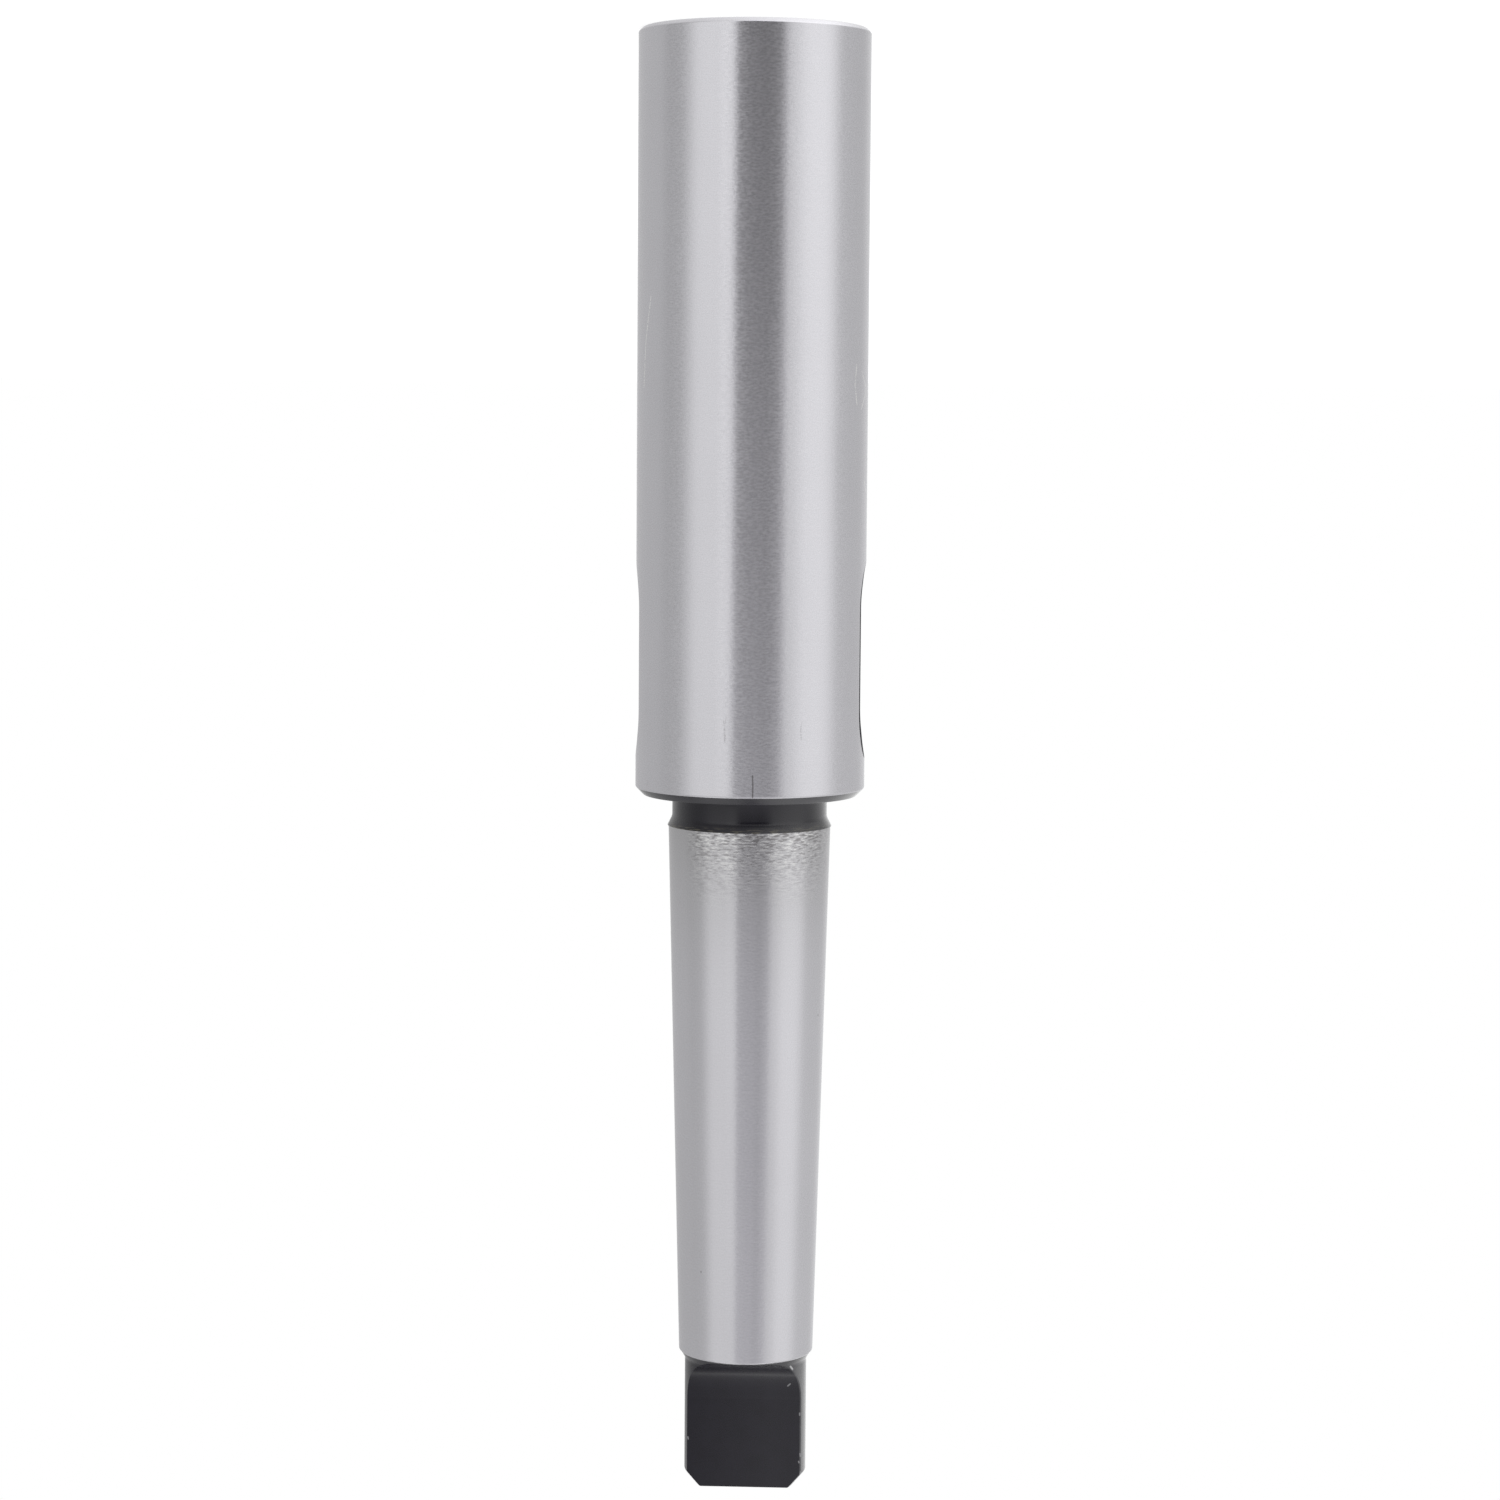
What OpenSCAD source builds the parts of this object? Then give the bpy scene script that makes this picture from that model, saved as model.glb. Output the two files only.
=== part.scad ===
// Morse taper extension sleeve, number 3 cone inside and outside.
// The sleeve stands on its socket mouth with the tang up. Z is the spindle axis, and z = 0 is
// the mouth face. The drift slot runs through along X, and the tang's flats face +Y and -Y.
// It is turned, milled, hardened and ground from one bar, so it is one solid.

/* [Cone] */
// Length of cone over which its diameter changes by one millimetre
cone_ratio = 19.922; // [19:0.001:20.1]
// Cone diameter at the gauge line
gauge_d = 23.825; // [23.4:0.005:24.2]
// From the gauge line up the shank to its big end
gauge_lead = 5; // [3:0.5:7]

/* [Barrel] */
// Outside diameter of the barrel
barrel_d = 34; // [33:0.5:40]
// Length of the barrel, from the mouth face to the end face at the neck
barrel_l = 112.2; // [110:0.1:140]
// Chamfer at the neck end of the barrel
barrel_chamfer = 1.2; // [0.3:0.1:1.5]
// Chamfer round the outside of the mouth face
mouth_edge = 0.6; // [0.3:0.1:1.5]

/* [Neck] */
// How far the grinding relief between barrel and shank lies below the big end of the cone, in radius
neck_step = 0.54; // [0.3:0.02:1.2]
// Straight length of the relief
neck_l = 3.2; // [2:0.1:10]
// Length of the flare from the relief up to the cone
flare_l = 1.4; // [0.6:0.1:3]
// How far the flare stands proud of the cone, where the grinding of the cone stopped
flare_step = 0.15; // [0.05:0.05:0.3]
// Fillet where the relief meets the end face of the barrel
neck_fillet = 0.8; // [0.3:0.1:1.5]

/* [Shank] */
// Length of the ground cone on the shank
shank_l = 79.2; // [70:0.1:82]
// Width of the edge break at the small end of the cone
shank_edge = 0.2; // [0.1:0.05:0.4]

/* [Tang] */
// How far the round stock of the tang lies below the small end of the cone, in radius
tang_step = 0.9; // [0.6:0.1:2]
// Length of the chamfer that leads from the cone's edge down to the round stock
root_chamfer_l = 1.1; // [0.5:0.1:1.5]
// Length of the tang, from the small end of the cone to the tip
tang_l = 20.7; // [18:0.1:24]
// Thickness of the tang across its two flats
tang_t = 6.4; // [6:0.1:8]
// Length of the flats, from the tip to the start of the run-out
tang_flat_l = 13.4; // [8:0.1:14]
// Radius of the run-out that the cutter leaves at the root of each flat
tang_runout_r = 7; // [5:0.5:7]
// Length of the nose chamfer along the axis
nose_l = 2.2; // [1:0.1:3]
// Step of the nose chamfer in radius
nose_step = 1.8; // [0.5:0.1:2.5]

/* [Socket] */
// Countersink at the mouth, which also sets the gauge line in from the face
mouth_chamfer = 0.6; // [0.3:0.1:1.2]
// Diameter of the relief bore behind the cone
relief_d = 20.2; // [19.8:0.1:20.6]
// Depth of the relief bore below the gauge line, drill point apart
bore_depth = 84; // [80:0.5:90]
// Point angle of the drill that made the bore
drill_angle = 118; // [90:1:140]

/* [Drift slot] */
// From the gauge line to the near end of the slot
slot_start = 78; // [76:0.5:79.5]
// Length of the slot, with its round ends
slot_l = 27; // [24:0.5:28]
// Thickness of the thickest tang that the slot takes
slot_tang_t = 7.9; // [7:0.1:8.4]
// Slot width beyond the thickness of that tang
slot_clearance = 0.3; // [0.1:0.05:0.6]
// Chamfer round the slot where it breaks out through a flat
slot_chamfer = 0.3; // [0.2:0.05:0.6]

/* [Side flats] */
// Depth of each flat below the barrel surface
flat_depth = 0.8; // [0.5:0.1:1.5]
// How far a flat reaches past each end of the slot, run-out included
flat_over = 0.85; // [0.5:0.05:1.5]
// Radius of the cutter that made the flats
flat_cutter_r = 32; // [20:1:40]

/* [Centre hole] */
// Diameter of the pilot in the tang tip
pilot_d = 2.5; // [1.6:0.1:3.2]
// Depth of the pilot
pilot_l = 5.5; // [4.5:0.5:8]
// Diameter of the countersink at the tip
centre_d = 5.3; // [4:0.1:6]
// Included angle of the countersink
centre_angle = 60; // [60:1:90]

/* [Hidden] */

$fn = 96;

// Cutters start and end this far outside the metal
past = 1;

barrel_r = barrel_d / 2;
relief_r = relief_d / 2;

// Stations along the axis, from the mouth face
neck_z = barrel_l;
flare_z = neck_z + neck_l;
shank_z = flare_z + flare_l;
root_z = shank_z + shank_l;
tip_z = root_z + tang_l;
gauge_z = mouth_chamfer;

// Shank cone, and the neck and the tang that are turned below it
shank_big_r = (gauge_d + gauge_lead / cone_ratio) / 2;
shank_small_r = shank_big_r - shank_l / cone_ratio / 2;
neck_r = shank_big_r - neck_step;
tang_r = shank_small_r - tang_step;
root_chamfer = tang_step - shank_edge;

// Socket cone, which shrinks at the same rate until it meets the relief bore
mouth_r = gauge_d / 2;
cone_end_z = gauge_z + (gauge_d - relief_d) * cone_ratio;
bore_z = gauge_z + bore_depth;
drill_l = relief_r / tan(drill_angle / 2);

// Drift slot and the flats that it breaks out through
slot_w = slot_tang_t + slot_clearance;
slot_z0 = gauge_z + slot_start;
slot_z1 = slot_z0 + slot_l;
flat_x = barrel_r - flat_depth;
flat_runout = sqrt(2 * flat_cutter_r * flat_depth - flat_depth * flat_depth);
flat_z0 = slot_z0 - flat_over + flat_runout;
flat_z1 = slot_z1 + flat_over - flat_runout;

centre_l = (centre_d - pilot_d) / 2 / tan(centre_angle / 2);

// Turned barrel with a chamfer at each end, the smaller one round the mouth
module barrel() {
    color("silver")
        rotate_extrude()
            polygon([
                [0, 0],
                [barrel_r - mouth_edge, 0],
                [barrel_r, mouth_edge],
                [barrel_r, barrel_l - barrel_chamfer],
                [barrel_r - barrel_chamfer, barrel_l],
                [0, barrel_l]
            ]);
}

// Concave fillet round the neck at the end face of the barrel
module neck_fillet_ring() {
    rotate_extrude()
        translate([neck_r, 0])
            difference() {
                translate([-neck_fillet, -neck_fillet])
                    square(2 * neck_fillet);
                translate([neck_fillet, neck_fillet])
                    circle(neck_fillet);
            }
}

// Grinding relief, left black, with the flare that leads up to the cone
module neck() {
    color("dimgray") {
        translate([0, 0, neck_z - past])
            cylinder(h = neck_l + past, r = neck_r);
        translate([0, 0, flare_z])
            cylinder(h = flare_l, r1 = neck_r, r2 = shank_big_r + flare_step);
        translate([0, 0, neck_z])
            neck_fillet_ring();
    }
}

// Ground cone of the shank, with its small edge broken
module shank() {
    color("silver")
        rotate_extrude()
            polygon([
                [0, shank_z],
                [shank_big_r, shank_z],
                [shank_small_r, root_z],
                [shank_small_r - shank_edge, root_z + shank_edge],
                [0, root_z + shank_edge]
            ]);
}

// Round stock of the tang, from the root chamfer to the nose chamfer
module tang_stock() {
    rotate_extrude()
        polygon([
            [0, root_z],
            [tang_r + root_chamfer, root_z],
            [tang_r + root_chamfer, root_z + shank_edge],
            [tang_r, root_z + shank_edge + root_chamfer_l],
            [tang_r, tip_z - nose_l],
            [tang_r - nose_step, tip_z],
            [0, tip_z]
        ]);
}

// Path of a disc cutter in the X Z plane, from z0 to z1, with its edge at x = depth_x
module disc_cut(depth_x, cutter_r, z0, z1, width) {
    rotate([90, 0, 0])
        linear_extrude(width, center = true) {
            translate([depth_x, z0])
                square([2 * cutter_r, z1 - z0]);
            for (z = [z0, z1])
                translate([depth_x + cutter_r, z])
                    circle(cutter_r);
        }
}

// Both flats of the tang, each milled from the side and ending in a round run-out at the root
module tang_flats() {
    run_end = tip_z + past + tang_runout_r;
    for (side = [90, 270])
        rotate([0, 0, side])
            disc_cut(tang_t / 2, tang_runout_r, tip_z - tang_flat_l, run_end, 4 * tang_r);
}

// Countersink and pilot that the sleeve was held on between centres
module centre_hole() {
    translate([0, 0, tip_z - centre_l])
        cylinder(h = centre_l, r1 = pilot_d / 2, r2 = centre_d / 2);
    translate([0, 0, tip_z - pilot_l])
        cylinder(h = pilot_l + past, r = pilot_d / 2);
}

// Black tang with its flats and its centre hole
module tang() {
    color("dimgray")
        difference() {
            tang_stock();
            tang_flats();
            centre_hole();
        }
}

// Countersink, cone, relief bore and drill point, as one turned cutter
module socket() {
    rotate_extrude()
        polygon([
            [0, -past],
            [mouth_r + mouth_chamfer + past, -past],
            [mouth_r, gauge_z],
            [relief_r, cone_end_z],
            [relief_r, bore_z],
            [0, bore_z + drill_l]
        ]);
}

// Outline of the slot along X, from end to end along Y, grown by an edge width
module slot_outline(grow) {
    run = slot_l - slot_w;
    translate([-slot_w / 2 - grow, -run / 2])
        square([slot_w + 2 * grow, run]);
    for (end = [-run / 2, run / 2])
        translate([0, end])
            circle(slot_w / 2 + grow);
}

// Chamfer round one mouth of the slot, with the wide side outwards along Z
module slot_flare() {
    run = slot_l - slot_w;
    r_in = slot_w / 2 - past;
    r_out = slot_w / 2 + slot_chamfer + past;
    depth = r_out - r_in;
    translate([0, 0, -slot_chamfer - past]) {
        rotate([90, 0, 0])
            linear_extrude(run, center = true)
                polygon([[-r_in, 0], [r_in, 0], [r_out, depth], [-r_out, depth]]);
        for (end = [-run / 2, run / 2])
            translate([0, end, 0])
                cylinder(h = depth, r1 = r_in, r2 = r_out);
    }
}

// Slot through the barrel, which lets the drift and the tool's tang in
module drift_slot() {
    translate([0, 0, (slot_z0 + slot_z1) / 2]) {
        rotate([90, 0, 90])
            linear_extrude(barrel_d + 2 * past, center = true)
                slot_outline(0);
        for (side = [0, 180])
            rotate([0, 0, side])
                translate([flat_x, 0, 0])
                    rotate([90, 0, 90])
                        slot_flare();
    }
}

// Flats on both sides of the barrel where the slot comes out
module side_flats() {
    for (side = [0, 180])
        rotate([0, 0, side])
            disc_cut(flat_x, flat_cutter_r, flat_z0, flat_z1, 2 * barrel_d);
}

// Whole sleeve
module sleeve() {
    difference() {
        union() {
            barrel();
            neck();
            shank();
            tang();
        }
        color("gray") {
            side_flats();
            socket();
            drift_slot();
        }
    }
}

sleeve();
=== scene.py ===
# %% [markdown]
# A ground taper sleeve, dressed for its picture.
#
# The real sleeve is one steel bar. It is turned, drilled and milled, hardened until its skin is black,
# and then ground bright where it has to fit: on the barrel, on the cone of the shank and in the socket.
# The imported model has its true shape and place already, so nothing here moves or resizes it. What a
# picture needs on top is a mesh fine enough for steel that mirrors its surroundings, the two finishes,
# and a studio for the steel to reflect.

# %% Load the frame
import math
import bmesh
import bpy
from mathutils import Matrix, Vector


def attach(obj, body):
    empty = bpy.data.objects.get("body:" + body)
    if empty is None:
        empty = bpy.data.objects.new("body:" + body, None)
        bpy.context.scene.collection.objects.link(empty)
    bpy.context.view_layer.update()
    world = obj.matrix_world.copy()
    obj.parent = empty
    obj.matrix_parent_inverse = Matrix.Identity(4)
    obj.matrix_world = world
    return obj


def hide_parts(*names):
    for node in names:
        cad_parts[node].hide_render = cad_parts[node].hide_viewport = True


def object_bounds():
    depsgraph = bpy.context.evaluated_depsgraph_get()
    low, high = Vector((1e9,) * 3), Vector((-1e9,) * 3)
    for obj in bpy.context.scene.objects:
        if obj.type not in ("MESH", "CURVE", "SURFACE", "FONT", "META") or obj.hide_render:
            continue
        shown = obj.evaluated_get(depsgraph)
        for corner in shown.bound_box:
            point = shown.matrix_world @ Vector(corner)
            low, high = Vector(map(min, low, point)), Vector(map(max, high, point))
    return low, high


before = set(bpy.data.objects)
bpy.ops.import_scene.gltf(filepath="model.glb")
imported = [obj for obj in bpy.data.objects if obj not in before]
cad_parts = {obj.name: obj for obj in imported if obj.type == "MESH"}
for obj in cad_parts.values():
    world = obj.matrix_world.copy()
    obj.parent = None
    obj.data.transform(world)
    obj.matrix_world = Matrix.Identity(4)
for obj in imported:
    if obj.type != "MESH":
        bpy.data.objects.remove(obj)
cad_low, cad_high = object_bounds()
print("The packed sleeve is", [round(1000 * side, 2) for side in cad_high - cad_low], "mm")

# %% [markdown]
# The sizes come first. The barrel's radius and the height of the tip are read from the frame. The rest
# are the drawing's own dimensions, in millimetres turned to metres, with Z up from the socket's mouth.
# What follows from another size is worked out, so that the edges of neighbouring forms always meet.

# %% Sizes of the sleeve
MM = 0.001
barrel_r = cad_high.x
tip_z = cad_high.z
barrel_l = 112.2 * MM
barrel_chamfer = 1.2 * MM
mouth_edge = 0.6 * MM
neck_step = 0.54 * MM
neck_l = 3.2 * MM
neck_fillet = 0.8 * MM
flare_l = 1.4 * MM
flare_step = 0.15 * MM
shank_edge = 0.2 * MM
tang_step = 0.9 * MM
root_chamfer_l = 1.1 * MM
tang_l = 20.7 * MM
nose_l = 2.2 * MM
nose_step = 1.8 * MM

cone_ratio = 19.922
gauge_r = 23.825 / 2 * MM
gauge_lead = 5 * MM
mouth_chamfer = 0.6 * MM
relief_r = 10.1 * MM
bore_depth = 84 * MM
drill_angle = math.radians(118)
centre_r = 2.65 * MM
pilot_r = 1.25 * MM
pilot_l = 5.5 * MM
centre_l = (centre_r - pilot_r) / math.tan(math.radians(30))

flare_z = barrel_l + neck_l
shank_z = flare_z + flare_l
root_z = tip_z - tang_l
shank_big_r = gauge_r + gauge_lead / cone_ratio / 2
shank_small_r = shank_big_r - (root_z - shank_z) / cone_ratio / 2
neck_r = shank_big_r - neck_step
tang_r = shank_small_r - tang_step
cone_end_z = mouth_chamfer + 2 * (gauge_r - relief_r) * cone_ratio
bore_z = mouth_chamfer + bore_depth
drill_l = relief_r / math.tan(drill_angle / 2)
print("The shank's cone runs from", round(shank_z / MM, 2), "to", round(root_z / MM, 2), "mm")

# %% [markdown]
# The camera stands where the photographer's did. It was found by fitting a pinhole camera to the
# sleeve's outline: just over half a metre away, level with the middle of the barrel, and pitched by
# five degrees. The photo shows the mouth on top, and the sleeve stands on its mouth, so the camera is simply
# held upside down, with a small roll. Its axes are built from that description, which is easier to read
# than three angles.

# %% Camera
SENSOR_MM = 36
PHOTO_PX = 1500
FOCAL_PX = 3634.5
camera_distance = 537.6 * MM
camera_height = 55.93 * MM
camera_turn = math.radians(2.8)
camera_pitch = math.radians(5.282)
camera_roll = math.radians(0.417)


def aim(turn, pitch, roll):
    """The camera's right, up and look directions, and the level direction back to it."""
    back = Vector((-math.sin(turn), -math.cos(turn), 0))
    level_right = Vector((-math.cos(turn), math.sin(turn), 0))
    look = math.sin(pitch) * Vector((0, 0, 1)) - math.cos(pitch) * back
    level_up = level_right.cross(look)
    right = math.cos(roll) * level_right + math.sin(roll) * level_up
    up = math.cos(roll) * level_up - math.sin(roll) * level_right
    return right, up, look, back, level_right


view_right, view_up, view_look, view_back, level_right = aim(camera_turn, camera_pitch, camera_roll)
camera = bpy.data.objects.new("camera", bpy.data.cameras.new("camera"))
camera.data.sensor_width = SENSOR_MM
camera.data.lens = FOCAL_PX * SENSOR_MM / PHOTO_PX
camera.matrix_world = Matrix((view_right, view_up, -view_look)).transposed().to_4x4()
camera.location = camera_distance * view_back + Vector((0, 0, camera_height))
bpy.context.scene.collection.objects.link(camera)
bpy.context.scene.camera = camera
bpy.context.scene.view_settings.view_transform = "Standard"
print("Lens", round(camera.data.lens, 2), "mm")

# %% [markdown]
# Finishes and lights are node trees, and a tree is easier to read as sums. Wire wraps a socket, and each
# operator on it adds the Math node that works the sum out. Graph.make is the one way in for any other
# node: it sets the node up first and then feeds its sockets with plain values or with wires.

# %% Node helpers
class Wire:
    """A socket to reckon with: each operator adds a Math node."""

    def __init__(self, graph, socket):
        self.graph = graph
        self.socket = socket

    def __add__(self, other):
        return self.graph.math("ADD", self, other)

    def __sub__(self, other):
        return self.graph.math("SUBTRACT", self, other)

    def __rsub__(self, other):
        return self.graph.math("SUBTRACT", other, self)

    def __mul__(self, other):
        return self.graph.math("MULTIPLY", self, other)

    def __truediv__(self, other):
        return self.graph.math("DIVIDE", self, other)

    def __pow__(self, other):
        return self.graph.math("POWER", self, other)

    __radd__ = __add__
    __rmul__ = __mul__


class Graph:
    """One node tree, emptied and built again from values and wires."""

    def __init__(self, tree):
        self.tree = tree
        tree.nodes.clear()

    def make(self, kind, settings=None, feeds=None, out=0):
        """Adds a node, and returns the wire of one output or a list for several."""
        node = self.tree.nodes.new("ShaderNode" + kind)
        for name, value in (settings or {}).items():
            setattr(node, name, value)
        for name, value in (feeds or {}).items():
            if isinstance(value, Wire):
                self.tree.links.new(value.socket, node.inputs[name])
            else:
                node.inputs[name].default_value = value
        if isinstance(out, list):
            return [Wire(self, node.outputs[each]) for each in out]
        return Wire(self, node.outputs[out]) if len(node.outputs) else node

    def math(self, operation, *values):
        return self.make("Math", {"operation": operation}, dict(enumerate(values)))

    def ramp(self, value, start, end, first=0.0, last=1.0):
        """A straight ramp: first before start, last after end."""
        feeds = {"Value": value, "From Min": start, "From Max": end, "To Min": first, "To Max": last}
        return self.make("MapRange", {}, feeds)

    def rise(self, value, start, end):
        """0 before start, 1 after end, and a smooth step between them."""
        feeds = {"Value": value, "From Min": start, "From Max": end}
        return self.make("MapRange", {"interpolation_type": "SMOOTHSTEP"}, feeds)

    def window(self, value, edges, soft):
        """1 between two edges and 0 outside, where each edge is a smooth step of its own width."""
        opens = self.rise(value, edges[0] - soft[0] / 2, edges[0] + soft[0] / 2)
        closes = self.rise(value, edges[1] - soft[1] / 2, edges[1] + soft[1] / 2)
        return opens * (1 - closes)

    def noise(self, vector, detail=2.0):
        return self.make("TexNoise", {}, {"Vector": vector, "Scale": 1.0, "Detail": detail}, "Fac")

    def vector(self, x, y, z):
        return self.make("CombineXYZ", {}, {"X": x, "Y": y, "Z": z})

    def tint(self, share, plain, tinted):
        """Blends one colour into another by share."""
        # A Mix node keeps its factor in socket 0, its two colours in 6 and 7, and the blend in output 2
        return self.make("Mix", {"data_type": "RGBA"}, {0: share, 6: plain, 7: tinted}, 2)


print("The node helpers are ready")

# %% [markdown]
# Bare steel has no colour of its own to speak of. What the eye reads as ground steel is the studio in
# it: a pale room, a tall lamp on each side of the camera, and between them a dark gap where the camera
# stands. On a cylinder each of these becomes an upright band. They could be real panels, but those
# would get in the way of the other views, so the world is painted with them by direction instead. A
# panel is a stretch of azimuth with a brightness that may change with height, and each one covers
# those before it. The camera itself sees plain white, and so do reflections that look straight at the
# backdrop behind the sleeve.

# %% Studio
# Where each panel starts and ends, in degrees to the right of the camera as the sleeve sees it, how
# soft each of its edges is, and its brightness at the lower and at the upper height
LOWER_HEIGHT, UPPER_HEIGHT = -12, 20
panels = {
    "left wall": {"edges": (-200, 200), "soft": (1, 1), "light": (0.70, 0.59)},
    "right wall": {"edges": (0, 200), "soft": (30, 1), "light": (0.63, 0.78)},
    "far end of the right wall": {"edges": (146, 200), "soft": (20, 1), "light": (0.80, 0.88)},
    "wall beside the left lamp": {"edges": (-100, -60), "soft": (18, 10), "light": (0.50, 0.61)},
    "left lamp": {"edges": (-67, 0), "soft": (24, 10), "light": (1.15, 0.86)},
    "inner strip of the left lamp": {"edges": (-33, 0), "soft": (8, 10), "light": (1.42, 0.86)},
    "right lamp": {"edges": (0, 88), "soft": (10, 26), "light": (1.10, 0.84)},
    "heart of the right lamp": {"edges": (47, 84), "soft": (18, 26), "light": (1.32, 1.0)},
    "gap for the camera": {"edges": (-18, 31), "soft": (8, 12), "light": (0.0, 0.76)},
    "edge of the camera": {"edges": (10, 21), "soft": (6, 6), "light": (0.0, 0.66)},
}
# Over the camera the room stays dim to the top. Elsewhere the lamps give way to the ceiling, which
# ends short of the backdrop
over_camera = {"edges": (-40, 50), "soft": (20, 20), "share": 0.15}
over_camera_from = (17, 28)
ceiling_from = (54, 70)
ceiling_light = 1.25
ceiling_reach = {"edges": (-140, 140), "soft": (40, 40)}
# The floor's light starts this far below, and is stronger to the right
floor_from = (-16, -46)
floor_light = 1.25
floor_lean = 0.75
# The backdrop behind the sleeve reaches this far to each side, and ends softly at its edges and its top
BACKDROP = 1.0
backdrop_half_angle = 8
backdrop_soft = 6
backdrop_top = (25, 40)
# The lamps are a little uneven, in upright streaks
streak_width = 2.5
streak_depth = 0.06
PURE_WHITE = (1.0, 1.0, 1.0, 1.0)
GAP_TINT = (0.975, 0.965, 1.0, 1.0)


def studio_light(graph, azimuth, height, across):
    """Brightness of the studio in a direction, with azimuth and height in degrees."""
    light = 0
    for panel in panels.values():
        shade = graph.ramp(height, LOWER_HEIGHT, UPPER_HEIGHT, *panel["light"])
        light = light + (shade - light) * graph.window(azimuth, panel["edges"], panel["soft"])
    streaks = graph.noise(graph.vector(azimuth / streak_width, 0, 0)) - 0.5
    light = light * (1 + streaks * streak_depth)
    over = graph.window(azimuth, over_camera["edges"], over_camera["soft"])
    light = light * (1 - over * graph.rise(height, *over_camera_from) * over_camera["share"])
    ceiling = graph.rise(height, *ceiling_from) * (1 - over)
    ceiling = ceiling * graph.window(azimuth, ceiling_reach["edges"], ceiling_reach["soft"])
    light = light + (ceiling_light - light) * ceiling
    floor = across * floor_lean + floor_light
    return light + (floor - light) * graph.ramp(height, *floor_from)


def build_world(world):
    world.use_nodes = True
    graph = Graph(world.node_tree)
    direction = graph.make("TexCoord", {}, {}, "Generated")
    x, y, z = graph.make("SeparateXYZ", {}, {"Vector": direction}, ["X", "Y", "Z"])
    ahead = x * view_back.x + y * view_back.y
    across = x * level_right.x + y * level_right.y
    azimuth = graph.math("ARCTAN2", across, ahead) * math.degrees(1)
    height = graph.math("ARCSINE", z) * math.degrees(1)
    light = studio_light(graph, azimuth, height, across)
    rays = ["Is Camera Ray", "Is Glossy Ray", "Is Transmission Ray"]
    seen, glossy, through = graph.make("LightPath", {}, {}, rays)
    behind_edge = 180 - backdrop_half_angle
    behind = graph.rise(graph.math("ABSOLUTE", azimuth), behind_edge - backdrop_soft, behind_edge)
    low = 1 - graph.rise(graph.math("ABSOLUTE", height), *backdrop_top)
    white = graph.math("MAXIMUM", graph.math("MAXIMUM", seen, through), glossy * behind * low)
    gap = panels["gap for the camera"]
    in_gap = graph.window(azimuth, gap["edges"], gap["soft"]) * (1 - white)
    colour = graph.tint(in_gap, PURE_WHITE, GAP_TINT)
    feeds = {"Color": colour, "Strength": light + (BACKDROP - light) * white}
    graph.make("OutputWorld", {}, {"Surface": graph.make("Background", {}, feeds)})


world = bpy.data.worlds.new("studio")
bpy.context.scene.world = world
build_world(world)
print("The studio has", len(panels), "panels")

# %% [markdown]
# The sleeve stands on a pale floor that fades into the backdrop. For the camera the floor glows just
# enough to reach white in the open, and the share that is real reflected light is what the sleeve can
# shade, so a soft shadow stays round its foot. The steel's reflections look past the floor into the
# studio.

# %% Floor
FLOOR_SIZE = 12.0
floor_glow = 0.76
floor_shaded = 0.44
floor_bounce = 0.75


def build_floor_finish():
    finish = bpy.data.materials.new("pale_floor")
    finish.use_nodes = True
    graph = Graph(finish.node_tree)
    glow = graph.make("Emission", {}, {"Color": (1, 1, 1, 1), "Strength": floor_glow})
    shaded = graph.make("BsdfDiffuse", {}, {"Color": (floor_shaded, floor_shaded, floor_shaded, 1)})
    bounce = graph.make("BsdfDiffuse", {}, {"Color": (floor_bounce, floor_bounce, floor_bounce, 1)})
    seen, glossy, through = graph.make(
        "LightPath", {}, {}, ["Is Camera Ray", "Is Glossy Ray", "Is Transmission Ray"])
    white = graph.math("MAXIMUM", graph.math("MAXIMUM", seen, glossy), through)
    bright = graph.make("AddShader", {}, {0: glow, 1: shaded})
    surface = graph.make("MixShader", {}, {0: white, 1: bounce, 2: bright})
    graph.make("OutputMaterial", {}, {"Surface": surface})
    return finish


bm = bmesh.new()
bmesh.ops.create_grid(bm, x_segments=1, y_segments=1, size=FLOOR_SIZE / 2)
floor_mesh = bpy.data.meshes.new("floor")
bm.to_mesh(floor_mesh)
bm.free()
floor_mesh.materials.append(build_floor_finish())
floor = bpy.data.objects.new("floor", floor_mesh)
floor.visible_glossy = False
bpy.context.scene.collection.objects.link(floor)
print("The floor is", FLOOR_SIZE, "m wide")

# %% [markdown]
# The turned form is one outline spun round Z. The outline runs up the inside from the drill point to the
# mouth, round the mouth, up the outside over barrel, neck, cone and tang, and down into the centre hole.
# Each corner carries the width that is broken off it, because no real edge is a knife: a bevel on the
# outline's corner becomes a rounded ring when the outline is spun, and that ring catches the light.

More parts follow.
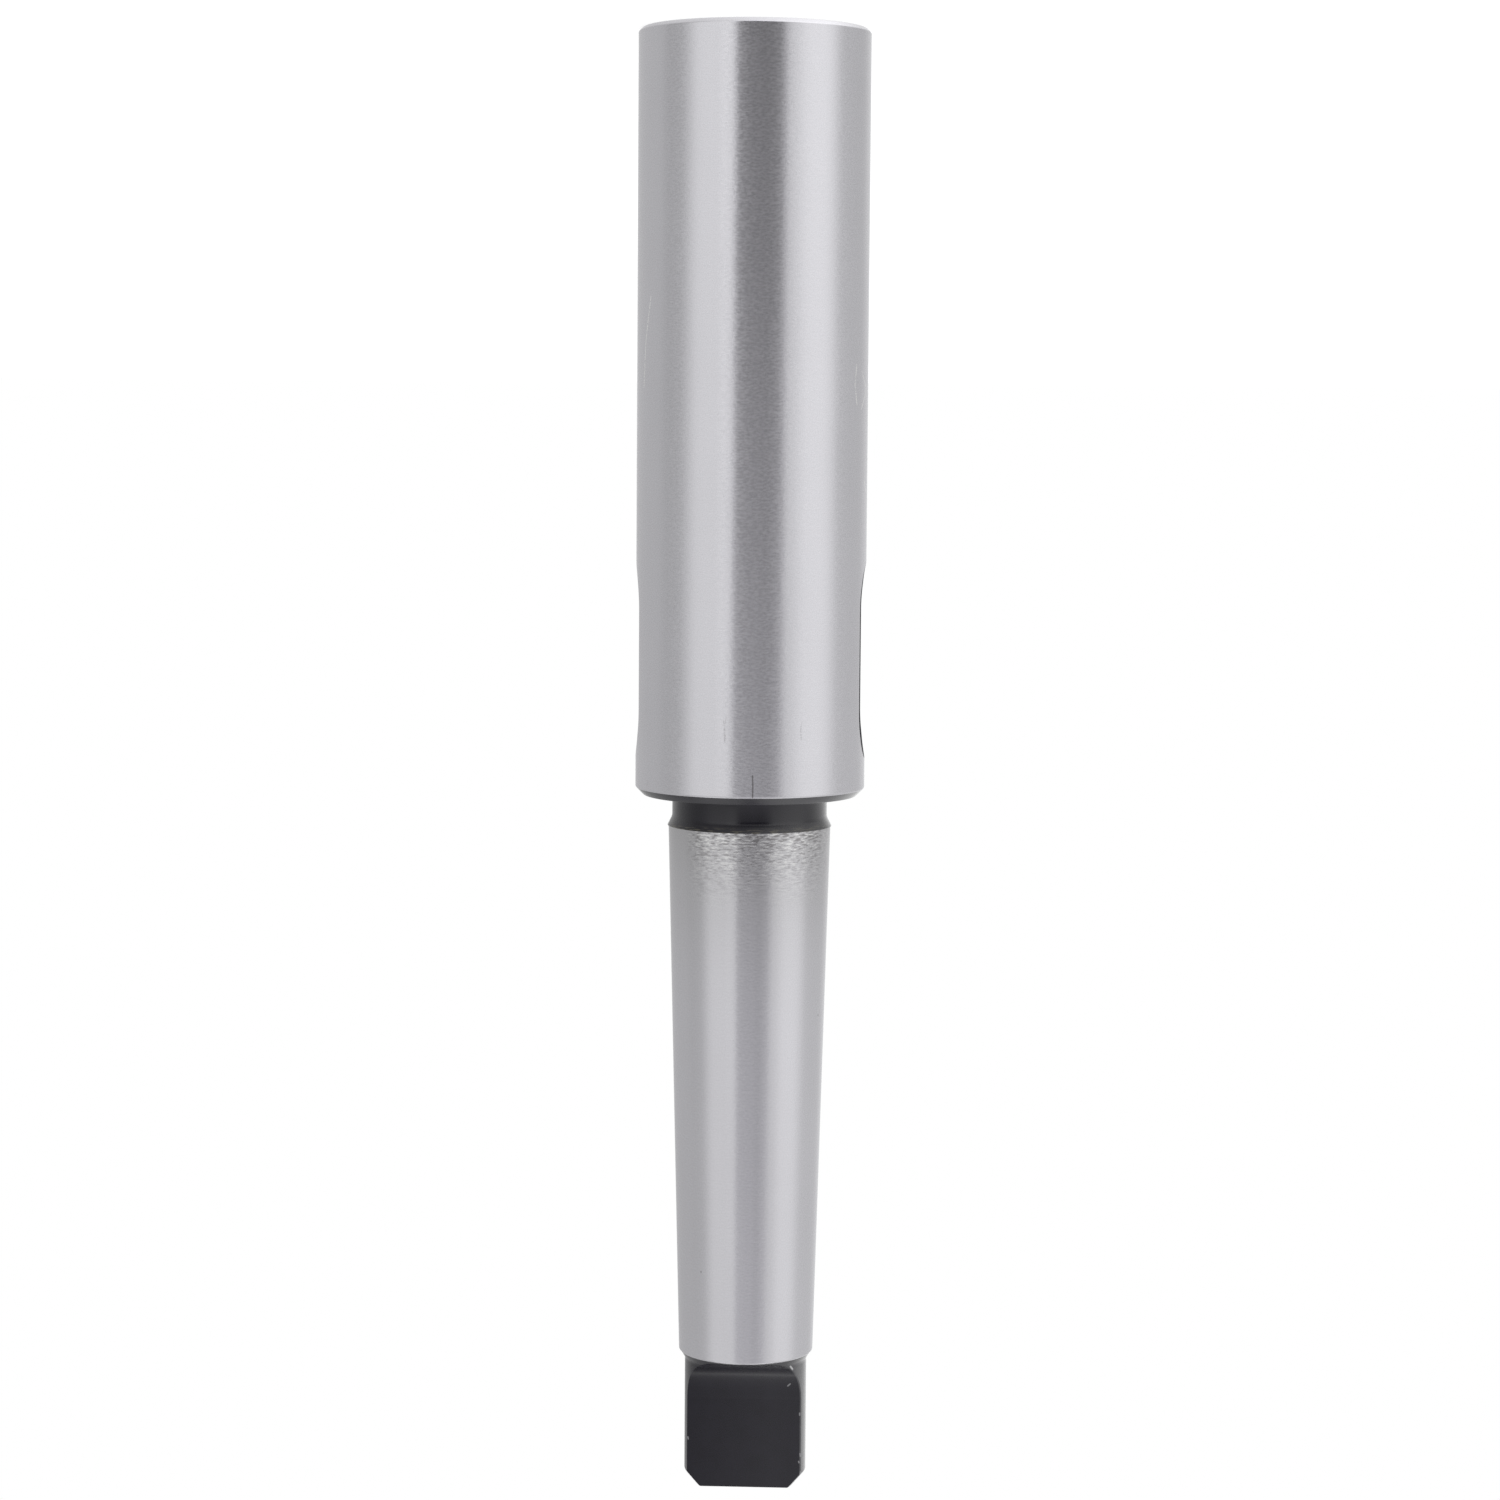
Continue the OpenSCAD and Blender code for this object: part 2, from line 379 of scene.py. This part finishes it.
# %% Outline and its corners
FINE = 0.08 * MM
outline = [
    (0, bore_z + drill_l, 0),
    (relief_r, bore_z, FINE),
    (relief_r, cone_end_z, FINE),
    (gauge_r, mouth_chamfer, FINE),
    (gauge_r + mouth_chamfer, 0, FINE),
    (barrel_r - mouth_edge, 0, 1.5 * FINE),
    (barrel_r, mouth_edge, 1.5 * FINE),
    (barrel_r, barrel_l - barrel_chamfer, 2.2 * FINE),
    (barrel_r - barrel_chamfer, barrel_l, 1.5 * FINE),
    (neck_r, barrel_l, neck_fillet),
    (neck_r, flare_z, 4 * FINE),
    (shank_big_r + flare_step, shank_z, FINE / 2),
    (shank_big_r, shank_z, 0),
    (shank_small_r, root_z, 0.6 * FINE),
    (shank_small_r - shank_edge, root_z + shank_edge, 0),
    (tang_r, root_z + shank_edge + root_chamfer_l, 4 * FINE),
    (tang_r, tip_z - nose_l, 2 * FINE),
    (tang_r - nose_step, tip_z, 2 * FINE),
    (centre_r, tip_z, FINE),
    (pilot_r, tip_z - centre_l, FINE),
    (pilot_r, tip_z - pilot_l, FINE),
    (0, tip_z - pilot_l, 0),
]
print("The outline has", len(outline), "corners")

# %% [markdown]
# On a lathe the bar turns and the tool draws the outline, and a spin is the same thing in Blender. Its
# 360 steps leave sides of 0.3 mm on the barrel, too narrow for a reflection to show a corner. Points on
# the axis fall together when they are spun, so doubles are merged, and the open edges are counted to
# see that the turned form is closed.

# %% Spin the outline
SPIN_STEPS = 360
CORNER_STEPS = 4
WELD = 0.0005 * MM


def spun(outline):
    """A closed bmesh, turned round Z from (radius, height, corner) points."""
    bm = bmesh.new()
    points = [bm.verts.new((radius, 0, height)) for radius, height, corner in outline]
    for start, end in zip(points, points[1:]):
        bm.edges.new((start, end))
    for point, (radius, height, corner) in zip(points, outline):
        if corner:
            bmesh.ops.bevel(bm, geom=[point], offset=corner, offset_type="OFFSET", segments=CORNER_STEPS,
                            profile=0.5, affect="VERTICES", material=-1)
    bmesh.ops.spin(bm, geom=bm.verts[:] + bm.edges[:], cent=(0, 0, 0), axis=(0, 0, 1), dvec=(0, 0, 0),
                   angle=math.tau, steps=SPIN_STEPS, use_merge=True, use_duplicate=False)
    bmesh.ops.remove_doubles(bm, verts=bm.verts, dist=WELD)
    bmesh.ops.recalc_face_normals(bm, faces=bm.faces)
    return bm


bm = spun(outline)
open_edges = [edge for edge in bm.edges if len(edge.link_faces) != 2]
print("Turned:", len(bm.faces), "faces,", len(open_edges), "open edges, volume", bm.calc_volume() / MM**3)

# %% [markdown]
# Which skin a face has follows from how the sleeve was made. The grinding wheel reached the barrel with
# its mouth, the cone of the shank and the cone of the socket, and left them bright. Everything else
# kept the black of hardening, apart from the little countersink in the tang that the grinding centre
# rubbed clean. Faces get their finish here, while their place on the outline is still easy to tell.

# %% Ground or black
BRIGHT, BLACK = 0, 1
ground_steel = bpy.data.materials.new("ground_bright_steel")
black_skin = bpy.data.materials.new("hardened_black_skin")


def is_ground(radius, height):
    """True where the grinding wheel has been."""
    inside = radius < gauge_r + mouth_chamfer and height < bore_z + drill_l
    if inside:
        return height < cone_end_z
    if height < barrel_l:
        return height < barrel_l - barrel_chamfer + 1.2 * FINE
    if height > tip_z - centre_l - FINE and radius < centre_r + FINE / 2:
        return radius > pilot_r + FINE / 2
    return shank_z - FINE < height < root_z + shank_edge


for face in bm.faces:
    centre = face.calc_center_median()
    face.material_index = BRIGHT if is_ground(centre.xy.length, centre.z) else BLACK
sleeve_mesh = bpy.data.meshes.new("taper_sleeve")
bm.to_mesh(sleeve_mesh)
ground_faces = sum(face.material_index == BRIGHT for face in bm.faces)
bm.free()
sleeve_mesh.materials.append(ground_steel)
sleeve_mesh.materials.append(black_skin)
sleeve = bpy.data.objects.new("taper_sleeve", sleeve_mesh)
bpy.context.scene.collection.objects.link(sleeve)
print(ground_faces, "faces are ground bright")

# %% [markdown]
# The milled forms are what cutters left behind: a disc cutter that ran along the barrel for each side
# flat, an end mill that went straight through for the drift slot, and a disc cutter that ran off the
# tang's tip for each of its flats. All of them sweep a circle along a line, so one helper makes them:
# long round-ended outlines at a few stations, bridged into a closed block. Where an outline is wider at
# the last station, the block leaves a chamfer.

# %% Cutter helper
CUTTER_STEPS = 360
PAST = 1 * MM


def long_outline(bm, radius, run, station):
    """Round-ended outline: a circle with its upper half moved up by run, at a station along Z."""
    half_step = Matrix.Rotation(math.pi / CUTTER_STEPS, 4, "Z")
    made = bmesh.ops.create_circle(bm, radius=radius, segments=CUTTER_STEPS, matrix=half_step)["verts"]
    upper = [vert for vert in made if vert.co.y > 0]
    bmesh.ops.translate(bm, verts=upper, vec=(0, run, 0))
    bmesh.ops.translate(bm, verts=made, vec=(0, 0, station))
    return list({edge for vert in made for edge in vert.link_edges})


def cutter(name, run, sections, place):
    """Closed block through the (radius, station) sections, then moved by the matrix place."""
    bm = bmesh.new()
    rings = [long_outline(bm, radius, run, station) for radius, station in sections]
    for near, far in zip(rings, rings[1:]):
        bmesh.ops.bridge_loops(bm, edges=near + far)
    bmesh.ops.holes_fill(bm, edges=bm.edges, sides=0)
    bmesh.ops.transform(bm, matrix=place, verts=bm.verts)
    bmesh.ops.recalc_face_normals(bm, faces=bm.faces)
    mesh = bpy.data.meshes.new(name)
    bm.to_mesh(mesh)
    bm.free()
    mesh.materials.append(black_skin)
    made = bpy.data.objects.new(name, mesh)
    bpy.context.scene.collection.objects.link(made)
    return made


def facing(side, reach, height):
    """Turns a block made in X and Y upright, to face the azimuth side with its circle at reach."""
    upright = Matrix.Rotation(math.radians(90), 4, "X")
    return Matrix.Rotation(side, 4, "Z") @ Matrix.Translation((reach, 0, height)) @ upright


print("A cutter's circle has", CUTTER_STEPS, "sides")

# %% [markdown]
# The drift slot lets a wedge in behind the tool's tang, to push the tool out of its socket. It goes
# straight through, and each of its mouths lies in a shallow flat that was milled first, so that the
# slot's own cutter starts on a level face. The disc that milled a flat is much larger than the flat is
# deep, so the flat's ends rise in long, shallow run-outs.

# %% Side flats and drift slot
flat_depth = 0.8 * MM
flat_over = 0.85 * MM
flat_cutter_r = 32 * MM
slot_r = 4.1 * MM
slot_start = 78 * MM
slot_l = 27 * MM
slot_chamfer = 0.3 * MM

slot_z0 = mouth_chamfer + slot_start
slot_z1 = slot_z0 + slot_l
flat_x = barrel_r - flat_depth
flat_runout = math.sqrt(2 * flat_cutter_r * flat_depth - flat_depth**2)
flat_z0 = slot_z0 - flat_over + flat_runout
flat_z1 = slot_z1 + flat_over - flat_runout

cutters = []
for side in (0, math.pi):
    reach = flat_x + flat_cutter_r
    sections = [(flat_cutter_r, -2 * barrel_r), (flat_cutter_r, 2 * barrel_r)]
    cutters.append(cutter("flat_cutter", flat_z1 - flat_z0, sections, facing(side, reach, flat_z0)))
wide_r = slot_r + slot_chamfer + PAST
sections = [(wide_r, -flat_x - PAST), (slot_r, -flat_x + slot_chamfer),
            (slot_r, flat_x - slot_chamfer), (wide_r, flat_x + PAST)]
slot_place = facing(math.radians(90), 0, slot_z0 + slot_r)
cutters.append(cutter("slot_cutter", slot_l - 2 * slot_r, sections, slot_place))
print("The slot runs from", round(slot_z0 / MM, 2), "to", round(slot_z1 / MM, 2), "mm")

# %% [markdown]
# The tang's two flats turn the sleeve when its cone slips. They run from the tip to just short of the
# cone, and end in the cutter's own round, because a square corner would crack there.

# %% Tang flats
tang_half_t = 3.2 * MM
tang_flat_l = 13.4 * MM
tang_runout_r = 7 * MM

for side in (90, 270):
    sections = [(tang_runout_r, -2 * tang_r), (tang_runout_r, 2 * tang_r)]
    place = facing(math.radians(side), tang_half_t + tang_runout_r, tip_z - tang_flat_l)
    cutters.append(cutter("tang_cutter", tang_flat_l + tang_runout_r + PAST, sections, place))
print("Cutters:", len(cutters))

# %% [markdown]
# Now the cutters are taken away from the turned form. The exact Boolean keeps the mesh closed, and it
# passes each cutter's black skin on to the faces that it cuts, which is true to the real sleeve: it was
# milled before it was hardened. The modifiers are then made the mesh's own, and slivers are dissolved.

# %% Cut the metal away
def bake_modifiers(piece):
    """Makes the modifiers' result the piece's own mesh."""
    bpy.context.view_layer.update()
    result = bpy.data.meshes.new_from_object(piece.evaluated_get(bpy.context.evaluated_depsgraph_get()))
    plain = piece.data
    piece.modifiers.clear()
    piece.data = result
    bpy.data.meshes.remove(plain)


for tool in cutters:
    step = sleeve.modifiers.new(tool.name, "BOOLEAN")
    step.operation = "DIFFERENCE"
    step.solver = "EXACT"
    step.material_mode = "TRANSFER"
    step.object = tool
bake_modifiers(sleeve)
for tool in cutters:
    bpy.data.objects.remove(tool)

bm = bmesh.new()
bm.from_mesh(sleeve.data)
bmesh.ops.dissolve_degenerate(bm, edges=bm.edges, dist=WELD)
open_edges = [edge for edge in bm.edges if len(edge.link_faces) != 2]
print("Cut:", len(bm.faces), "faces,", len(open_edges), "open edges, volume", bm.calc_volume() / MM**3)
bm.to_mesh(sleeve.data)
bm.free()
print([slot.name for slot in sleeve.data.materials])

# %% [markdown]
# A cylinder of flat strips only looks round if its shading is smooth, and a flat only looks flat if the
# roundness next to it doesn't leak in. Edges sharper than a limit are marked sharp, and the Weighted
# Normal modifier lets the large face win wherever a large face meets a narrow one.

# %% Shading
SHARP_ANGLE = math.radians(24)
bm = bmesh.new()
bm.from_mesh(sleeve.data)
for face in bm.faces:
    face.smooth = True
for edge in bm.edges:
    one, other = edge.link_faces
    edge.smooth = one.material_index == other.material_index and edge.calc_face_angle() < SHARP_ANGLE
bm.to_mesh(sleeve.data)
bm.free()
weighted = sleeve.modifiers.new("weighted", "WEIGHTED_NORMAL")
weighted.keep_sharp = True
weighted.mode = "FACE_AREA"
bake_modifiers(sleeve)
print("Shaded:", len(sleeve.data.polygons), "faces")

# %% [markdown]
# Use leaves marks, and a picture of a real sleeve has them in their places: a few pale curved scratches
# where it met another part, some short dark ones, a deeper one by the neck, specks, and nicks where the
# tang's edges were struck.
# Each mark is a short path on the surface. A shader finds how far a point lies from such a path with
# vector sums, so a mark needs no image and stays sharp at any size.

# %% Marks
# Each scratch: its points as an azimuth in degrees, from the front towards -X, and a height in mm
pale_scratches = [
    [(65.5, 48.3), (63.6, 51.6), (65.9, 54.4)],
    [(72.0, 49.7), (79.9, 52.3), (71.1, 55.2)],
    [(77.4, 65.6), (83.0, 67.2)],
    [(-57.7, 39.2), (-63.2, 45.4), (-65.6, 52.1)],
]
dark_scratches = [
    [(-9.0, 99.4), (-9.9, 101.2), (-9.6, 103.0)],
    [(-10.3, 99.9), (-9.2, 102.4)],
    [(28.7, 100.2), (28.2, 101.3), (28.6, 102.7)],
    [(-58.4, 109.5), (-59.5, 110.2)],
]
deep_scratches = [[(4.1, 107.8), (4.3, 109.4), (4.2, 111.0)]]
specks = [[(68.9, 144.6)], [(-37.4, 182.7)]]
# Each nick of the tang: its points in mm
bright_nicks = [
    [(-6.95, -5.95, 197.3), (-7.3, -5.5, 197.85)],
]
faint_nicks = [
    [(-6.55, -3.6, 200.95), (-6.9, -3.75, 200.6)],
    [(-8.45, -3.2, 211.4), (-8.5, -3.2, 211.8)],
    [(-8.25, -3.2, 212.6), (-8.3, -3.2, 212.8)],
    [(-8.55, -3.2, 214.2), (-8.5, -3.2, 214.6)],
    [(-8.35, -3.2, 205.2), (-8.35, -3.2, 205.5)],
    [(8.45, -3.2, 209.2), (8.4, -3.2, 209.5)],
]
print(len(pale_scratches + dark_scratches + deep_scratches), "scratches and", len(specks), "specks")
print(len(bright_nicks + faint_nicks), "nicks")

# %% Mark helpers
def on_ground_face(azimuth, height):
    """Point of the barrel or the cone at an azimuth in degrees and a height in mm."""
    turn = math.radians(azimuth)
    z = height * MM
    radius = barrel_r if z < barrel_l else shank_big_r - (z - shank_z) / cone_ratio / 2
    return Vector((-radius * math.sin(turn), -radius * math.cos(turn), z))


def nearest_on(graph, along, offset):
    """The point nearest to offset on the straight path from 0 to along."""
    if not along.length:
        return along
    step = {0: offset, 1: along / along.length_squared}
    share = graph.make("VectorMath", {"operation": "DOT_PRODUCT"}, step, "Value")
    share = graph.ramp(share, 0, 1)
    return graph.make("VectorMath", {"operation": "SCALE"}, {0: along, "Scale": share})


def mark(graph, place, paths, width):
    """1 on any of the paths, falling to 0 at half the width from them."""
    least = None
    for path in paths:
        for start, end in zip(path, path[1:] or path):
            offset = graph.make("VectorMath", {"operation": "SUBTRACT"}, {0: place, 1: start})
            feeds = {0: offset, 1: nearest_on(graph, end - start, offset)}
            distance = graph.make("VectorMath", {"operation": "DISTANCE"}, feeds, "Value")
            least = distance if least is None else graph.math("MINIMUM", least, distance)
    return 1 - graph.rise(least, width * 0.2, width * 0.5)


def ground_mark(graph, place, paths, width):
    """A mark on the barrel or the cone, from points given by azimuth and height."""
    return mark(graph, place, [[on_ground_face(*point) for point in path] for path in paths], width)


def nick_mark(graph, place, paths, width):
    """A mark on the tang, from points in mm."""
    return mark(graph, place, [[MM * Vector(point) for point in path] for path in paths], width)


deep_start = on_ground_face(*deep_scratches[0][0]) / MM
print("The deep scratch starts at", [round(side, 1) for side in deep_start], "mm")

# %% [markdown]
# Ground steel is bare metal with rings of very fine scratches, because the sleeve turned while the wheel
# passed along it. Along a ring the surface is smooth, across it is rough, so reflections smear into
# upright bands: that is the shader's anisotropy, turned by a quarter so that it smears along the axis.
# The patterns are noise in blotches, wide round the sleeve and low along it. They vary with height plus
# radius, which makes rings on the upright faces and on the mouth's flat face alike.

# %% Patterns of the grinding
GRAIN = (0.60 * MM, 0.27 * MM)
GRIT = (0.32 * MM, 0.14 * MM)
RINGS = (9 * MM, 0.22 * MM)
CLOUDS = (7 * MM, 14 * MM)
SCUFFS = (1.0 * MM, 0.22 * MM)


def position(graph):
    """The place on the surface, its three coordinates, and its distance from the axis."""
    place = graph.make("TexCoord", {}, {}, "Object")
    x, y, z = graph.make("SeparateXYZ", {}, {"Vector": place}, ["X", "Y", "Z"])
    return place, x, y, z, (x * x + y * y) ** 0.5


def blotches(graph, x, y, height, size, detail=2.0):
    """Noise in blotches of that size: how wide they are round the sleeve, and how high."""
    wide, high = size
    return graph.noise(graph.vector(x / wide, y / wide, height / high), detail)


def scaled(graph, colour, shade):
    return graph.make("VectorMath", {"operation": "SCALE"}, {0: colour, "Scale": shade})


print("A grain of the steel is", GRAIN[0] / MM, "mm wide and", GRAIN[1] / MM, "mm high")

# %% [markdown]
# Just above the neck the hardening heat left the cone dull, and whatever the shank was pushed into has
# scuffed it in front with short dashes, some raised and pale, some sunk and dark. Both come from one
# noise: its crests are the raised dashes and its hollows the sunk ones.

# %% Scuffs and scratches
dulled_to = shank_z + 32 * MM
scuffed_to = shank_z + 12 * MM
scuffed_side = (-11 * MM, 8 * MM)
scuffed_soft = (3 * MM, 3 * MM)
scuffed_front = (5 * MM, -3 * MM)
pale_width = 0.35 * MM
dark_width = 0.25 * MM
deep_width = 0.28 * MM
speck_width = 0.35 * MM


def scuffs(graph, x, y, z, along, cloud, dull):
    """The raised dashes and the sunk ones, thinning out up the cone and to the sides."""
    scuffed = (1 - graph.ramp(z, shank_z, scuffed_to)) * dull
    scuffed = scuffed * graph.window(x, scuffed_side, scuffed_soft) * graph.rise(y, *scuffed_front)
    scuff = blotches(graph, x, y, along, SCUFFS) + (cloud - 0.5) * 0.3
    return graph.rise(scuff, 0.56, 0.61) * scuffed, (1 - graph.rise(scuff, 0.40, 0.45)) * scuffed


def scratches(graph, place, grain, grit):
    """The pale scratches, broken up by the grain, and the dark ones with the specks."""
    pale = ground_mark(graph, place, pale_scratches, pale_width) * graph.rise(grain, 0.38, 0.52)
    dark = ground_mark(graph, place, dark_scratches, dark_width) * graph.rise(grit, 0.3, 0.7) * 0.5
    deep = ground_mark(graph, place, deep_scratches, deep_width)
    dots = ground_mark(graph, place, specks, speck_width)
    return pale, graph.math("MAXIMUM", dark, graph.math("MAXIMUM", deep, dots))


print("The scuffs end", round((scuffed_to - shank_z) / MM, 1), "mm up the cone")

# %% [markdown]
# The wheel also tears little flecks out of the surface, and these scatter light round the sleeve instead
# of along it. So the finish is two metals that the grain mixes, one for each direction. Where a lamp
# fills the view both show lamp, but in the dark band only the flecks catch light, so the grain shows
# there and frays the edges of the band, as it does on the real sleeve. The cone was ground finer than
# the barrel, so its grain is weaker.

# %% Ground steel
STEEL = (0.606, 0.600, 0.628, 1.0)
DULLED = (0.463, 0.459, 0.468, 1.0)
PALE_MARK = (0.86, 0.86, 0.84, 1.0)
DARK_MARK = (0.16, 0.15, 0.15, 1.0)
steel_roughness = 0.205
fleck_roughness = 0.288
# The flecks' colour is raised a little as painted light, to offset the darker surroundings they reflect where
# a lamp fills the view
fleck_painted_gain = 1.06
fewest_flecks, most_flecks = 0.27, 0.66
grain_depth = 0.012 * MM


def build_ground_steel(finish):
    finish.use_nodes = True
    graph = Graph(finish.node_tree)
    place, x, y, z, radius = position(graph)
    along = z + radius
    grain = blotches(graph, x, y, along, GRAIN)
    grit = blotches(graph, x, y, along, GRIT)
    rings = blotches(graph, x, y, along, RINGS)
    cloud = blotches(graph, x, y, z, CLOUDS, 3.0)
    coarse = 1 - graph.rise(z, barrel_l, shank_z) * 0.7
    dull = (1 - graph.ramp(z, shank_z, dulled_to)) ** 2 * graph.rise(z, shank_z - 0.1 * MM, shank_z)
    raised, sunk = scuffs(graph, x, y, z, along, cloud, dull)
    pale, dark = scratches(graph, place, grain, grit)

    shade = 1 + (grain - 0.5) * 0.03 * coarse + (rings - 0.5) * 0.03 + (cloud - 0.5) * 0.05
    colour = graph.tint(dull, STEEL, DULLED)
    colour = graph.tint(graph.math("MAXIMUM", raised * 0.65, pale * 0.8), colour, PALE_MARK)
    colour = graph.tint(sunk * 0.7, colour, DARK_MARK)
    colour = graph.tint(dark * 0.75, colour, DARK_MARK)
    relief = grain * (0.5 + cloud) + raised - sunk
    normal = graph.make("Bump", {}, {"Strength": 1.0, "Distance": grain_depth, "Height": relief})
    feeds = {"Base Color": scaled(graph, colour, shade), "Metallic": 1.0, "Normal": normal,
             "Anisotropic": 0.85, "Anisotropic Rotation": 0.25,
             "Roughness": steel_roughness + cloud * 0.02}
    smooth = graph.make("BsdfPrincipled", {}, feeds)
    # The torn metal's colour carries that painted brightening against the darker light its flecks reflect
    feeds = feeds | {"Base Color": scaled(graph, colour, shade * fleck_painted_gain),
                     "Anisotropic Rotation": 0.0, "Roughness": fleck_roughness}
    torn = graph.make("BsdfPrincipled", {}, feeds)
    flecks = graph.ramp((grain - 0.5) * coarse, -0.17, 0.17, fewest_flecks, most_flecks) + pale * 0.3
    surface = graph.make("MixShader", {}, {0: flecks, 1: smooth, 2: torn})
    graph.make("OutputMaterial", {}, {"Surface": surface})


build_ground_steel(ground_steel)
print("Ground steel has", len(ground_steel.node_tree.nodes), "nodes")

# %% [markdown]
# The black skin is what hardening and an oil bath leave: nearly black, a little purple, and as glossy as
# oiled oxide. The oxide and the film of oil on it both turn pale at grazing angles, which is why the neck
# and the tang are black in front and grey along their outlines, so the shader gets a coat over its own
# gloss. On the flare below the cone the wheel has brushed the skin in places, and it looks brown there;
# that brown is also raised as a painted highlight. The side flats were milled smoother than the rest and
# hold no oil. One side of the tang's round stock is painted pale grey, a painted reflection of the grazing
# light there, and where its edges were struck, bare steel shows.

# %% Wear and painted light on the black skin
BRUSH_AND_HIGHLIGHT_MARKS = (1.6 * MM, 0.25 * MM)
bright_nick_width = 0.4 * MM
faint_nick_width = 0.3 * MM


def brushed_and_highlit(graph, x, y, z, radius):
    """1 where the wheel has brushed the flare, whose streaks also carry a painted highlight."""
    on_flare = graph.rise(z, flare_z + 0.4 * MM, shank_z) * (1 - graph.rise(z, shank_z, shank_z + 0.2 * MM))
    return graph.rise(blotches(graph, x, y, z + radius, BRUSH_AND_HIGHLIGHT_MARKS), 0.48, 0.62) * on_flare


def milled(graph, x, z):
    """1 on the side flats."""
    on_flat = graph.rise(graph.math("ABSOLUTE", x), flat_x - 0.1 * MM, flat_x - 0.02 * MM)
    return on_flat * graph.window(z, (slot_z0 - MM, slot_z1 + MM), (0.5 * MM, 0.5 * MM))


def painted_pale_side(graph, x, z, radius):
    """1 on the side of the tang's round stock whose pale grey is a painted grazing reflection."""
    side = graph.rise(x, -0.55 * tang_r, -0.95 * tang_r) * graph.rise(z, root_z, root_z + 2 * MM)
    return side * graph.rise(radius, 0.97 * tang_r, 0.99 * tang_r)


def nicks(graph, place, cloud):
    """Where the tang's struck edges show bare steel."""
    bright = nick_mark(graph, place, bright_nicks, bright_nick_width)
    faint = nick_mark(graph, place, faint_nicks, faint_nick_width)
    return graph.math("MAXIMUM", bright, faint * 0.5) * graph.rise(cloud, 0.2, 0.4)


print("The flare is", flare_l / MM, "mm long")

# %% Black skin
BLACK_SKIN = (0.0120, 0.0108, 0.0175, 1.0)
# The flare's brushed streaks are real, and their brown is raised further as a painted highlight
BRUSHED_SKIN_HIGHLIGHT = (0.115, 0.105, 0.080, 1.0)
# Painted reflection: the pale grey on one side of the tang's round stock stands in for its grazing reflection
PAINTED_PALE_SIDE_SKIN = (0.12, 0.12, 0.125, 1.0)
BARE_NICK = (0.55, 0.55, 0.56, 1.0)
SKIN_GRAIN = (0.12 * MM, 0.12 * MM)
SKIN_CLOUDS = (3 * MM, 3 * MM)
skin_roughness = 0.28
oil_roughness = 0.15
oil_ior = 1.35
skin_depth = 0.002 * MM


def build_black_skin(finish):
    finish.use_nodes = True
    graph = Graph(finish.node_tree)
    place, x, y, z, radius = position(graph)
    grain = blotches(graph, x, y, z, SKIN_GRAIN)
    cloud = blotches(graph, x, y, z, SKIN_CLOUDS, 3.0)
    # The flare's streak mask holds both real brushing and a painted highlight
    rubbed_and_highlit = brushed_and_highlit(graph, x, y, z, radius)
    flat = milled(graph, x, z)
    bare = nicks(graph, place, cloud)
    film = graph.ramp(x, 8 * MM, -4 * MM, 0.3, 1.0) * (1 - flat)

    shade = 1 + (cloud - 0.5) * 0.8 + (grain - 0.5) * 0.5
    # Brown streaks on the flare: real brushing, with a painted highlight in their colour
    colour = graph.tint(rubbed_and_highlit, BLACK_SKIN, BRUSHED_SKIN_HIGHLIGHT)
    # The pale side of the tang's round stock is a painted reflection of grazing light
    colour = graph.tint(painted_pale_side(graph, x, z, radius), colour, PAINTED_PALE_SIDE_SKIN)
    colour = graph.tint(bare, scaled(graph, colour, shade), BARE_NICK)
    roughness = skin_roughness + (cloud - 0.5) * 0.12 + (grain - 0.5) * 0.1 - flat * 0.2
    relief = (grain + rubbed_and_highlit) * (1 - flat)
    normal = graph.make("Bump", {}, {"Strength": 1.0, "Distance": skin_depth, "Height": relief})
    feeds = {"Base Color": colour, "Metallic": bare, "Roughness": roughness, "IOR": oil_ior, "Normal": normal,
             "Coat Weight": film, "Coat Roughness": oil_roughness, "Coat IOR": oil_ior}
    graph.make("OutputMaterial", {}, {"Surface": graph.make("BsdfPrincipled", {}, feeds)})


build_black_skin(black_skin)
print("Black skin has", len(black_skin.node_tree.nodes), "nodes")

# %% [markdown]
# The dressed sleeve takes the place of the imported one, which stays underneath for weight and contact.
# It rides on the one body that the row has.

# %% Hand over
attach(sleeve, "root")
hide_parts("sleeve")
